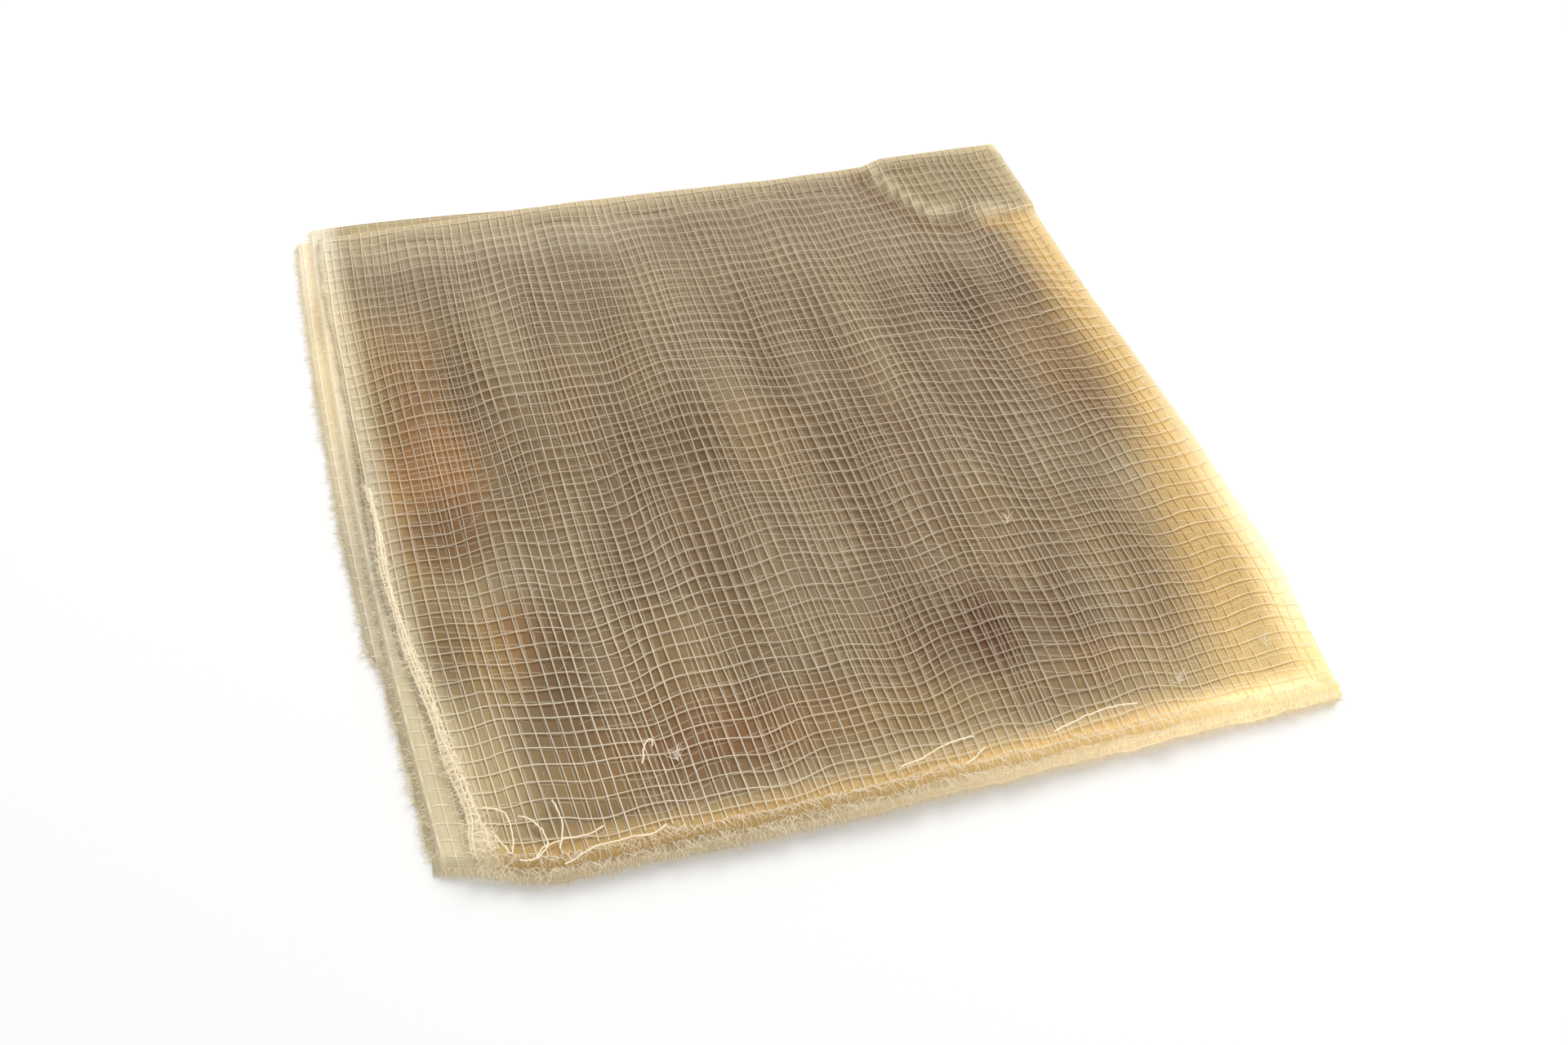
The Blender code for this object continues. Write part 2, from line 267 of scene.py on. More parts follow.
def fold(s, q):
    """Where the flat sheet's points (s, q) lie in the packet."""
    x, height, normal_x, normal_z, panel = across_sheet(s)
    second_half = q > HALF_LENGTH + TURN_LENGTH / 2
    from_cut = np.minimum(q, SHEET_LENGTH - q)
    angle = np.clip((q - HALF_LENGTH) / (PITCH / 2), 0, math.pi) - math.pi / 2
    turning = (q > HALF_LENGTH) & (q < HALF_LENGTH + TURN_LENGTH)
    radius = PITCH / 2
    fold_centre = back_fold(panel, x) - OUTER
    flat_y = from_cut * (fold_centre + HALF_DEPTH) / HALF_LENGTH - HALF_DEPTH
    y = np.where(turning, fold_centre + radius * np.cos(angle), flat_y)
    offset = radius * np.sin(angle)
    flat_x = x + normal_x * offset
    px, py, pz = settle(flat_x, y, height + normal_z * offset)
    ply = ply_number(panel, second_half)
    inside = np.where(turning, HALF_LENGTH, y - cut_end(ply, x))
    inside = np.where(panel <= 0, np.minimum(inside, x - bottom_edge(y)), inside)
    inside = np.where(panel >= PANELS - 1, np.minimum(inside, x - top_edge(y)), inside)
    pz = np.maximum(pz, FILM_THICKNESS / 2)
    return np.stack([px, py, pz], -1), np.stack([flat_x, y], -1), ply, inside


# %% [markdown]
# ## Weave that has shifted, and where wax fills it
#
# The yarns of an open gauze slide on each other: the wefts run in waves that their
# neighbours share, and the warps crowd together here and part there. So the shift is one
# smooth field over the flat sheet, and yarns and film both follow it. Wax closes the meshes
# of the lower plies. In the top ply it has stayed in the margins only, and there the film
# comes down onto the ply below it.

# %% Shift of the weave
def shifted(s, q):
    """The place on the flat sheet to which a point of the even weave has slid."""
    from_cut = np.minimum(q, SHEET_LENGTH - q)
    from_fold = HALF_LENGTH - from_cut
    free = smooth(from_cut / 0.006) * smooth(from_fold / 0.006)
    waves = 0.00160 * ripple(s, q * 0.40, 0.026, 4) + 0.00125 * ripple(s, q * 0.4, 0.0095, 9)
    from_pleat = np.minimum(s, SHEET_WIDTH - s)
    for start, end in pleats:
        from_pleat = np.minimum(from_pleat, np.maximum(start - s, s - end))
    crowd = 0.00065 * ripple(s, q * 0.12, 0.0072, 6) + 0.00070 * ripple(s * 0.5, q, 0.050, 7)
    return s + crowd * smooth(from_pleat / 0.004), q + waves * free


# %% Meshes without wax
BARE_MARGINS = (0.0040, 0.0036, 0.0022, 0.0052)
FILM_SLOPE = 0.0034


def bareness(s, q):
    """How far inside the top ply's part without wax a point is, less than 0 outside. The
    margins are at the right pleat, the free edge, the cut end and the back fold."""
    depths = (s - TOP_PANEL_START, SHEET_WIDTH - s, q, HALF_LENGTH - q)
    left = [depth - margin for depth, margin in zip(depths, BARE_MARGINS)]
    return np.minimum.reduce(left) + 0.0014 * ripple(s, q, 0.0085, 12)


# %% [markdown]
# ## Colour over the packet
#
# The wax is yellow to brown and see-through, so the colour depends on how many plies the
# light passes. The middle is a dull tan, hollows where the top ply is stuck down are warm
# brown, raised creases are pale and milky, and the thin margins are cream and amber, partly
# their own thinner wax and partly painted light that passes through them. Painted shade and
# a painted highlight lie along the tucked corner's border, and the front ends of the lower
# plies are painted lighter. The colours are worked out per point as soft spots over the plan
# and kept as an attribute, painted light included.

# %% Colours of the waxed cloth
MIDDLE = (0.275, 0.185, 0.092)
MILKY = (0.400, 0.325, 0.200)
ORANGE = (0.440, 0.220, 0.075)
DARK = (0.140, 0.080, 0.038)
AMBER = (0.800, 0.550, 0.210)
CREAM = (0.960, 0.860, 0.600)
GREY_CREAM = (0.760, 0.700, 0.530)
GOLD = (0.520, 0.425, 0.245)
HONEY = (0.470, 0.320, 0.125)
BURNT = (0.250, 0.120, 0.042)

# Colour, weight, middle in x and y, and half width and half depth in millimetres.
SPOTS = (
    (MILKY, 0.7, -30, 28, 5, 19),
    (MILKY, 0.3, -29, -5, 4, 30),
    (MILKY, 0.6, -7, 26, 6, 26),
    (MILKY, 0.4, -4, -26, 6, 26),
    (MILKY, 0.6, -39, -18, 10, 7),
    (MILKY, 0.25, 15, 30, 8, 26),
    (MILKY, 0.3, 30, -12, 15, 12),
    ((0.640, 0.470, 0.210), 0.85, -49.5, 10, 4.8, 44),
    (ORANGE, 1, -43.7, 2, 8, 17),
    (BURNT, 0.8, -46, -10, 4.5, 7),
    ((0.210, 0.110, 0.045), 0.85, -43.2, -8.5, 6.5, 9.5),
    (ORANGE, 0.55, -44, 22, 6, 20),
    (HONEY, 0.7, -43, -30, 4.5, 12),
    (ORANGE, 0.4, -40, -27, 5, 9),
    (HONEY, 0.6, -36, -49, 10, 7),
    (ORANGE, 0.5, -15, -47, 16, 6),
    (HONEY, 0.5, 6, -50, 30, 6),
    (ORANGE, 0.35, 30, -47, 12, 5),
    (ORANGE, 0.35, 44, 6, 6, 20),
    ((0.150, 0.062, 0.016), 0.95, 14, -39.5, 13.5, 10),
    ((0.165, 0.090, 0.038), 0.8, 36, 25, 11, 13),
    (BURNT, 0.75, -24, -46, 15, 9.5),
    ((0.620, 0.540, 0.370), 0.7, -31, 51, 28, 7.5),
    (HONEY, 0.65, 39, -34, 10, 15),
    ((0.720, 0.620, 0.400), 0.6, -43, 51, 8, 8),
    ((0.620, 0.540, 0.400), 0.5, -12, 50, 11, 7),
    ((0.600, 0.500, 0.320), 0.5, 45, -20, 7, 11),
    (BURNT, 0.35, 36, 30, 8, 8),
    ((0.700, 0.580, 0.320), 0.85, -47, -46, 5.8, 17),
    (GOLD, 0.45, -44, -20, 5, 6),
    (DARK, 0.55, -12, 1, 7, 12),
    (DARK, 0.35, -22, -12, 6, 30),
    (DARK, 0.45, 8, 6, 10, 26),
    (DARK, 0.3, 28, 0, 16, 12),
)


def blend(colour, *layers):
    """The colour under layers, each another colour and its weight at every point."""
    for other, weight in layers:
        colour = colour + (np.asarray(other) - colour) * np.asarray(weight)[..., None]
    return colour


def colour_and_painted_light(x, y, ply):
    """The cloth's colour at a point of the plan, painted light and shade included."""
    colour = np.zeros(np.shape(x) + (3,)) + MIDDLE
    for other, weight, *place in SPOTS:
        middle_x, middle_y, half_width, half_depth = (value / 1000 for value in place)
        near = np.hypot((x - middle_x) / half_width, (y - middle_y) / half_depth)
        colour = blend(colour, (other, weight * smooth(1.15 - near)))
    streak = ripple(x + 0.06 * y, y * 0.16, 0.0062, 5)
    tuck = tuck_depth(x, y)
    lower = smooth((x - HALF_WIDTH + 0.014) / 0.006)
    behind = y - back_fold(PANELS - 1, x)
    towards_front = smooth((0.010 - y) / 0.060)
    rim = x - 0.0450 + 0.0080 * towards_front
    front_right = np.hypot((x - HALF_WIDTH) / 0.034, (y + HALF_DEPTH) / 0.018)
    near_front = smooth((-0.0510 - y) / 0.0040)
    front = smooth((-0.0545 - y) / 0.0030)
    margin = blend(np.array((0.52, 0.42, 0.25)),
                   ((0.93, 0.77, 0.43), smooth((x + 0.020) / 0.060)))
    left = blend(np.array(GREY_CREAM), (CREAM, smooth((y + 0.010) / 0.060)))
    # The darker lacy stripes over the left band are painted shade between its pale ridges, and
    # the near white at its back end is painted light passing through the thin cloth.
    left = blend(
        left, ((0.50, 0.42, 0.24), 0.6 * np.clip(ripple(x, y * 0.10, 0.0024, 21), 0, 1)),
        ((0.84, 0.76, 0.50), 0.7 * smooth((-0.016 - y) / 0.030)),
        ((0.98, 0.92, 0.74), smooth((y - 0.035) / 0.02) * smooth((-0.047 - x) / 0.004)))
    return blend(
        colour,
        (MILKY, 0.45 * np.clip(streak, 0, 1)),
        (DARK, 0.40 * np.clip(-streak, 0, 1)),
        (DARK, 0.30 * np.clip(ripple(x, y, 0.019, 11), 0, 1)),
        (HONEY, 0.30 * np.clip(ripple(x, y, 0.023, 13), 0, 1)),
        ((0.43, 0.37, 0.27), 0.35 * smooth((y - 0.020) / 0.025)),
        ((0.40, 0.32, 0.175), 0.85 * smooth(tuck / 0.0015)),
        # Painted shadow in brown outside the tucked corner's border, painted shade in amber
        # below its lower right border, and a painted highlight in cream along its raised edge.
        ((0.25, 0.145, 0.06), 0.92 * bump((tuck + 0.0015) / 0.0026)),
        (AMBER, 0.60 * lower * bump((tuck + 0.0014) / 0.0022)),
        (CREAM, 0.65 * bump((tuck - 0.0015) / 0.0015)),
        ((0.60, 0.51, 0.34), 0.70 * smooth((behind + 0.0090) / 0.006)
         * smooth((0.040 - x) / 0.050)),
        ((0.52, 0.42, 0.23), 0.90 * smooth(behind / 0.0005)),
        ((0.78, 0.67, 0.43), 0.80 * bump((behind + 0.0003) / 0.0009)),
        # The right margin: amber where wax fills it; the cream towards its edge and at the front
        # right corner is partly the thin wax's own paler colour and partly painted light passing
        # through it.
        (AMBER, 0.90 * smooth(rim / 0.0085) * smooth(1 - tuck / 0.002)),
        ((0.95, 0.80, 0.44), (0.15 + 0.65 * towards_front) * smooth((x - 0.0490) / 0.0035)),
        (CREAM, 0.90 * smooth((x - 0.0530 + 0.0015 * towards_front) / 0.0030)),
        ((0.86, 0.66, 0.30), 0.90 * smooth(1.2 - front_right)),
        ((0.60, 0.49, 0.28), 0.70 * near_front * bump((x - 0.004) / 0.045)),
        (margin, 0.85 * front),
        ((0.64, 0.42, 0.14), 0.70 * front * bump(ply - 6) * smooth((0.046 - x) / 0.020)),
        # Painted light: the lower plies' front ends are made cream, since those faces, turned
        # from the key lamp, get little light.
        (CREAM, 0.55 * front * smooth((4.5 - ply) / 1.0)),
        (left, 0.95 * smooth((top_edge(y) + 0.0040 - x) / 0.0030)))


def rim_share(x, y):
    """From 0 to 1 over the right margin, where wax has closed over the warps."""
    return smooth((x - 0.0390) / 0.0080) * smooth((0.030 - y) / 0.020)


def sunkenness(x, y):
    """How deep the warps lie in the wax: fully at the right margin, a little on the left."""
    return rim_share(x, y) + 0.18 * smooth((-0.030 - x) / 0.012)


def cleanness(x, y):
    """How pale the yarns are beyond their usual: near the front left and at the rims."""
    near = np.hypot((x + 0.034) / 0.034, (y + 0.055) / 0.045)
    dark = np.hypot((x - 0.0140) / 0.0135, (y + 0.0395) / 0.0100)
    far = 0.22 * smooth((y - 0.005) / 0.045) + 0.22 * smooth(1.2 - dark)
    left = 0.5 * smooth((top_edge(y) + 0.0005 - x) / 0.001)
    return np.maximum(np.maximum(0.75 * smooth(1.2 - near), left), 0.5 * rim_share(x, y)) - far


def painted_glow(x, y):
    """How much painted light the wax gives off as emission at a point: most at the thin margins,
    for the light that they pass on.
    """
    front = smooth((-0.0545 - y) / 0.0030) * (0.3 + 1.3 * smooth((x + 0.030) / 0.080))
    right = smooth((x - 0.0490) / 0.0050) * (0.4 + 0.9 * smooth((0.01 - y) / 0.06))
    left = smooth((top_edge(y) + 0.0010 - x) / 0.0030) * (0.1 + 0.9 * smooth((y + 0.050) / 0.08))
    back = 0.2 * smooth((y - 0.0560) / 0.0020)
    return np.maximum.reduce([front, right, left, back])


# %% Guide surface of the whole sheet
def keep_values(mesh, key, values):
    """Keeps a number or a vector for every point of a mesh."""
    kind, field = ("FLOAT", "value") if values.ndim == 1 else ("FLOAT_VECTOR", "vector")
    mesh.attributes.new(key, kind, "POINT").data.foreach_set(field, values.ravel())


def grid_mesh(name, points, flat, attributes, keep=None):
    """A mesh of quads over rows and columns of points, with its place on the flat sheet as
    its UV map and with colour and number attributes. Keep tells which quads it has."""
    rows, columns = points.shape[:2]
    index = np.arange(rows * columns).reshape(rows, columns)
    corners = (index[:-1, :-1], index[:-1, 1:], index[1:, 1:], index[1:, :-1])
    faces = np.stack(corners, -1).reshape(-1, 4)
    if keep is not None:
        faces = faces[keep.ravel()]
    used, faces = np.unique(faces, return_inverse=True)
    faces = faces.reshape(-1, 4)
    mesh = bpy.data.meshes.new(name)
    mesh.from_pydata(points.reshape(-1, 3)[used].tolist(), [], faces.tolist())
    layer = mesh.uv_layers.new(name="flat")
    layer.data.foreach_set("uv", flat.reshape(-1, 2)[used][faces.ravel()].ravel())
    for key, values in attributes.items():
        keep_values(mesh, key, values.reshape(-1, *values.shape[2:])[used])
    mesh.update()
    return mesh


def lines_with(folds, low, high, step, fine, reach):
    """Values from low to high, close together within reach of each fold."""
    values, at = [low], low
    while at < high:
        near = any(start - reach <= at <= end + reach for start, end in folds)
        at = min(at + (fine if near else step), high)
        values.append(at)
    return np.array(values)


turn = [(HALF_LENGTH, HALF_LENGTH + TURN_LENGTH)]
guide_s = lines_with(pleats, -BEYOND, SHEET_WIDTH + BEYOND, 0.0013, 0.00017, 0.0006)
guide_q = lines_with(turn, -BEYOND, SHEET_LENGTH + BEYOND, 0.0013, 0.00012, 0.0005)
s, q = (value.copy() for value in np.meshgrid(guide_s, guide_q, indexing="ij"))


def chart(s, q):
    """Places on the flat sheet as UV coordinates."""
    return np.stack([(s + BEYOND) / (SHEET_WIDTH + 2 * BEYOND),
                     (q + BEYOND) / (SHEET_LENGTH + 2 * BEYOND)], -1)


def sheet_mesh(name, s, q, keep=None, sinks=False):
    """The folded sheet's mesh over these flat points. It may sink where the wax ends."""
    s_shifted, q_shifted = shifted(s, q)
    points, plan, ply, inside = fold(s_shifted, q_shifted)
    bare = bareness(s, q)
    if sinks:
        below = fold(s_shifted, SHEET_LENGTH - q_shifted)[0]
        below[..., 2] -= 0.9 * FILM_THICKNESS
        down = smooth(1 + (bare + 0.0010) / FILM_SLOPE)[..., None]
        points = points + (below - points) * np.where(q[..., None] < HALF_LENGTH, down, 0)
    x, y = plan[..., 0], plan[..., 1]
    waxed = smooth(0.5 - (bare + FILM_SLOPE / 2) / FILM_SLOPE) * smooth(ply)
    above = YARN_OUT * np.where(q > SHEET_LENGTH / 2, 0.6, 1.0)
    values = {"tint": colour_and_painted_light(x, y, ply), "inside": inside, "out": waxed * above,
              "painted_glow": painted_glow(x, y), "clean": cleanness(x, y), "sunk": sunkenness(x, y)}
    return grid_mesh(name, points, chart(s, q), values, keep)


GUIDE = sheet_mesh("guide", s, q)
print("guide surface", len(GUIDE.vertices), "points")


# %% [markdown]
# ## Node trees in plain lines
#
# A small class wraps a socket, so a sum of sockets is written as a sum. Any other node is
# added by one method: what it is, its settings, and what its sockets hold or take.

# %% Sockets that add up
class Value:
    """A socket of a node tree that can be used in sums."""

    def __init__(self, tree, socket):
        self.tree = tree
        self.socket = socket

    def math(self, operation, first, second=0.0):
        node = self.tree.nodes.new("ShaderNodeMath")
        node.operation = operation
        for socket, value in zip(node.inputs, (first, second)):
            if isinstance(value, Value):
                self.tree.links.new(value.socket, socket)
            else:
                socket.default_value = value
        return Value(self.tree, node.outputs[0])

    def __add__(self, other):
        return self.math("ADD", self, other)

    def __radd__(self, other):
        return self.math("ADD", other, self)

    def __sub__(self, other):
        return self.math("SUBTRACT", self, other)

    def __rsub__(self, other):
        return self.math("SUBTRACT", other, self)

    def __mul__(self, other):
        return self.math("MULTIPLY", self, other)

    def __rmul__(self, other):
        return self.math("MULTIPLY", other, self)

    def __truediv__(self, other):
        return self.math("DIVIDE", self, other)

    def __gt__(self, other):
        return self.math("GREATER_THAN", self, other)

    def call(self, operation, other=0.0):
        return self.math(operation, self, other)


class Graph:
    """A node tree whose nodes are added one line each."""

    def __init__(self, tree):
        self.tree = tree

    def add(self, kind, settings=(), values=(), output=0):
        """Adds a node and returns one of its outputs, or all of them for output None."""
        node = self.tree.nodes.new(kind)
        for key, value in dict(settings).items():
            setattr(node, key, value)
        for key, value in dict(values).items():
            if isinstance(value, Value):
                self.tree.links.new(value.socket, node.inputs[key])
            else:
                node.inputs[key].default_value = value
        if output is None:
            return {socket.name: Value(self.tree, socket) for socket in node.outputs}
        return Value(self.tree, node.outputs[output])

    def vector(self, x, y, z=0.0):
        return self.add("ShaderNodeCombineXYZ", {}, {"X": x, "Y": y, "Z": z})

    def parts(self, vector):
        return self.add("ShaderNodeSeparateXYZ", {}, {"Vector": vector}, None)

    def combine(self, operation, first, second):
        return self.add("ShaderNodeVectorMath", {"operation": operation},
                        {0: first, 1: second})

    def scaled(self, vector, factor):
        return self.add("ShaderNodeVectorMath", {"operation": "SCALE"},
                        {"Vector": vector, "Scale": factor})

    def noise(self, vector, scale, detail=1.0, output=0):
        return self.add("ShaderNodeTexNoise", {},
                        {"Vector": vector, "Scale": scale, "Detail": detail}, output)

    def attribute(self, name, kind="FLOAT"):
        return self.add("GeometryNodeInputNamedAttribute", {"data_type": kind},
                        {"Name": name})

    def kept(self, name, output):
        """A mesh attribute in a material: 0 as a colour, 2 as a number."""
        return self.add("ShaderNodeAttribute", {"attribute_name": name}, {}, output)

    def store(self, geometry, name, value, kind="FLOAT"):
        return self.add("GeometryNodeStoreNamedAttribute",
                        {"data_type": kind, "domain": "POINT"},
                        {"Geometry": geometry, "Name": name, "Value": value})

    def moved(self, geometry, values):
        return self.add("GeometryNodeSetPosition", {}, {"Geometry": geometry, **values})

    def wobble(self, scale, amount):
        """An offset in a direction that changes over space, as large as the amount."""
        noise = self.noise(self.add("GeometryNodeInputPosition"), scale, 2.0, 1)
        return self.scaled(self.combine("SUBTRACT", noise, (0.5, 0.5, 0.5)), amount)

    def tubes(self, curves, sides, radius, girth):
        ring = self.add("GeometryNodeCurvePrimitiveCircle", {"mode": "RADIUS"},
                        {"Resolution": sides, "Radius": radius})
        return self.add("GeometryNodeCurveToMesh", {}, {
            "Curve": curves, "Profile Curve": ring, "Scale": girth, "Fill Caps": True})

    def end(self, kind, value, socket="Surface"):
        """Ends the tree in an output node."""
        self.tree.links.new(value.socket, self.tree.nodes.new(kind).inputs[socket])


def geometry_tree(name, inputs):
    """An empty geometry tree with named inputs, and the wrapped sockets of those inputs."""
    tree = bpy.data.node_groups.new(name, "GeometryNodeTree")
    kinds = {float: "NodeSocketFloat", int: "NodeSocketInt"}
    tree.interface.new_socket("Geometry", in_out="INPUT", socket_type="NodeSocketGeometry")
    tree.interface.new_socket("Geometry", in_out="OUTPUT", socket_type="NodeSocketGeometry")
    for key, value in inputs.items():
        kind = kinds.get(type(value), "NodeSocketMaterial")
        socket = tree.interface.new_socket(key, in_out="INPUT", socket_type=kind)
        if value is not None:
            socket.default_value = value
    graph = Graph(tree)
    return graph, graph.add("NodeGroupInput", output=None)


def finish_tree(graph, geometry, material):
    """Ends a tree with plain geometry that has its material."""
    real = graph.add("GeometryNodeRealizeInstances", {}, {"Geometry": geometry})
    done = graph.add("GeometryNodeSetMaterial", {}, {"Geometry": real, "Material": material})
    graph.end("NodeGroupOutput", done, 0)


def shown(name, data):
    """A new object in the scene."""
    made = bpy.data.objects.new(name, data)
    bpy.context.scene.collection.objects.link(made)
    return made


def run_tree(tree, base, values):
    """Runs a tree on a mesh with these inputs and returns the plain mesh that it makes."""
    holder = shown("holder", base)
    modifier = holder.modifiers.new("made", "NODES")
    modifier.node_group = tree
    for item in tree.interface.items_tree:
        if item.in_out == "INPUT" and item.name in values:
            modifier[item.identifier] = values[item.name]
    graph = bpy.context.evaluated_depsgraph_get()
    made = bpy.data.meshes.new_from_object(holder.evaluated_get(graph))
    bpy.data.objects.remove(holder, do_unlink=True)
    return made


def piece(name, meshes):
    """One object at the origin out of several meshes."""
    parts = [shown(name, mesh) for mesh in meshes]
    if len(parts) > 1:
        with bpy.context.temp_override(active_object=parts[0], object=parts[0],
                                       selected_editable_objects=parts):
            bpy.ops.object.join()
    faces = parts[0].data.polygons
    print(name, sum(len(face.vertices) - 2 for face in faces), "triangles")
    return parts[0]


# %% [markdown]
# ## Materials
#
# The film is what the lower plies look like together: soft wax with the weave's lines
# showing through as paler ribs. The yarns are cotton with a thin coat of wax. Both let some
# light through, so they are part plain surface and part see-through scatter. Both also give
# off painted light as emission: the film at its thin margins and the top and loose yarns all
# over, which lightens them also where they are in shade.

# %% Shared parts of the materials
def material_graph(name):
    material = bpy.data.materials.new(name)
    material.use_nodes = True
    material.node_tree.nodes.clear()
    return material, Graph(material.node_tree)


def cloth_surface(graph, colour, roughness, normal, through, painted_glow_colour, strength):
    """A surface that is part plain and part lit from behind, with painted light given off as
    emission.
    """
    plain = graph.add("ShaderNodeBsdfPrincipled", {}, {
        "Base Color": colour, "Roughness": roughness, "IOR": 1.25, "Normal": normal,
        "Emission Color": painted_glow_colour, "Emission Strength": strength})
    behind = graph.add("ShaderNodeBsdfTranslucent", {}, {"Color": colour})
    both = graph.add("ShaderNodeMixShader", {}, {0: through, 1: plain, 2: behind})
    graph.end("ShaderNodeOutputMaterial", both)


def mixed(graph, factor, first, second, kind="MIX"):
    return graph.add("ShaderNodeMix", {"data_type": "RGBA", "blend_type": kind},
                     {0: factor, 6: first, 7: second}, 2)


# %% Waxed film
def film_material():
    material, graph = material_graph("waxed_gauze_film")
    tint = graph.kept("tint", 0)
    flat = graph.parts(graph.add("ShaderNodeUVMap", {"uv_map": "flat"}))
    place = graph.add("ShaderNodeTexCoord", {}, {}, "Object")
    drift = graph.noise(place, 140.0, 2.0)
    s = flat["X"] * ((SHEET_WIDTH + 2 * BEYOND) / WARP_PITCH) - BEYOND / WARP_PITCH
    q = flat["Y"] * ((SHEET_LENGTH + 2 * BEYOND) / WEFT_PITCH) - BEYOND / WEFT_PITCH
    q = q + drift * 0.3 - 0.15

    def line(value, width):
        away = (value.call("FRACT") - 0.5).call("ABSOLUTE") * 2.0
        return graph.add("ShaderNodeMapRange", {"interpolation_type": "SMOOTHSTEP"},
                         {"Value": away, "From Min": width * 0.5, "From Max": width * 1.5,
                          "To Min": 1.0, "To Max": 0.0})

    weave = line(s, 0.20).call("MAXIMUM", line(q, 0.12))
    pale = mixed(graph, 0.55, tint, (0.95, 0.86, 0.68, 1.0))
    deep = mixed(graph, 1.0, tint, (0.87, 0.82, 0.76, 1.0), "MULTIPLY")
    colour = mixed(graph, weave * 0.45, deep, pale)
    cloud = graph.noise(place, 420.0, 3.0)
    colour = mixed(graph, cloud * 0.35, colour, tint)
    height = weave + cloud * 0.4
    normal = graph.add("ShaderNodeBump", {},
                       {"Strength": 0.6, "Distance": 0.00015, "Height": height})
    # Painted light: emission in the film's colour, strongest at the thin margins, for the light
    # that passes through them.
    painted_glow_colour = graph.scaled(colour, graph.kept("painted_glow", 2))
    cloth_surface(graph, colour, 0.52, normal, 0.12, painted_glow_colour, 0.42)
    return material


# %% Waxed yarn
def yarn_material(name, paleness, through, painted_glow_strength):
    material, graph = material_graph(name)
    tint = graph.kept("tint", 0)
    tone = graph.kept("tone", 2)
    place = graph.add("ShaderNodeTexCoord", {}, {}, "Object")
    speck = graph.noise(place, 2600.0, 2.0)
    amount = paleness + tone * 0.30 + (speck - 0.5) * 0.25 - 0.15
    amount = amount.call("MAXIMUM", 0.0).call("MINIMUM", 1.0)
    colour = mixed(graph, amount, tint, (0.97, 0.89, 0.72, 1.0))
    normal = graph.add("ShaderNodeBump", {},
                       {"Strength": 0.5, "Distance": 0.00006, "Height": speck})
    cloth_surface(graph, colour, 0.42, normal, through, colour, painted_glow_strength)
    return material


FILM = film_material()
# The last number is painted light: an even emission that lightens the yarns all round, their
# shaded sides too.
YARN_TOP = yarn_material("waxed_yarn_top", 0.44, 0.15, 0.20)
YARN_DEEP = yarn_material("waxed_yarn_deep", 0.12, 0.10, 0.0)
YARN_LOOSE = yarn_material("loose_yarn", 0.80, 0.25, 0.16)


# %% [markdown]
# ## The film
#
# The lower plies, the pleats and the margins of the top ones, as one thin skin that follows
# the fold. Its edges are cut where the sheet's are, a little unevenly.

# %% Film over the lower plies
def film_points():
    """Flat places of the film's grid. Its lines lie under the yarns, and its ends follow
    the cut ends and the free edges."""
    s_lines = lines_with(pleats, 0.0, SHEET_WIDTH, WARP_PITCH, 0.00032, 0.0006)
    q_lines = lines_with(turn, 0.0, SHEET_LENGTH, WEFT_PITCH, 0.00020, 0.0004)
    s, q = np.meshgrid(s_lines, q_lines, indexing="ij")
    x, _, _, _, panel = across_sheet(s)
    second_half = q > SHEET_LENGTH / 2
    uneven = 0.00035 * ripple(s, q, 0.0019, 2)
    cut = cut_end(ply_number(panel, second_half), x) + HALF_DEPTH + uneven
    from_cut = np.minimum(q, SHEET_LENGTH - q)
    moved = from_cut + cut * (1 - smooth(from_cut / 0.010))
    q = np.where(second_half, SHEET_LENGTH - moved, moved)
    y = moved - HALF_DEPTH
    uneven = 0.00035 * ripple(y, s, 0.0021, 5)
    first_edge = (bottom_edge(y) + HALF_WIDTH + uneven) * (1 - smooth(s / 0.010))
    last_edge = (top_edge(y) + HALF_WIDTH - TOP_EDGE_INSET + uneven) \
        * (1 - smooth((SHEET_WIDTH - s) / 0.010))
    s = s + np.where(panel <= 0, first_edge, 0) - np.where(panel >= PANELS - 1, last_edge, 0)
    return s, q


s, q = film_points()
bare = bareness(s, q)
closed = (bare[:-1, :-1] + bare[1:, 1:]) / 2 < 0
film_mesh = sheet_mesh("gauze_sheet", s, q, closed, sinks=True)
film_mesh.materials.append(FILM)
film_mesh.shade_smooth()
gauze_sheet = piece("gauze_sheet", [film_mesh])
thick = gauze_sheet.modifiers.new("thickness", "SOLIDIFY")
thick.thickness = FILM_THICKNESS
thick.offset = 0.0


# %% [markdown]
# ## The yarns
#
# One tree lays both sets of yarns over a window of the flat sheet. Warps run along q and
# wefts along s. Each family starts as parallel lines, wanders a little, rises and dips past
# the other family at every crossing, is folded with the sheet by reading the guide surface
# at its flat place, and is then swept into a thin tube. Points outside the cut edges are
# dropped, so the ends are as ragged as they should be.

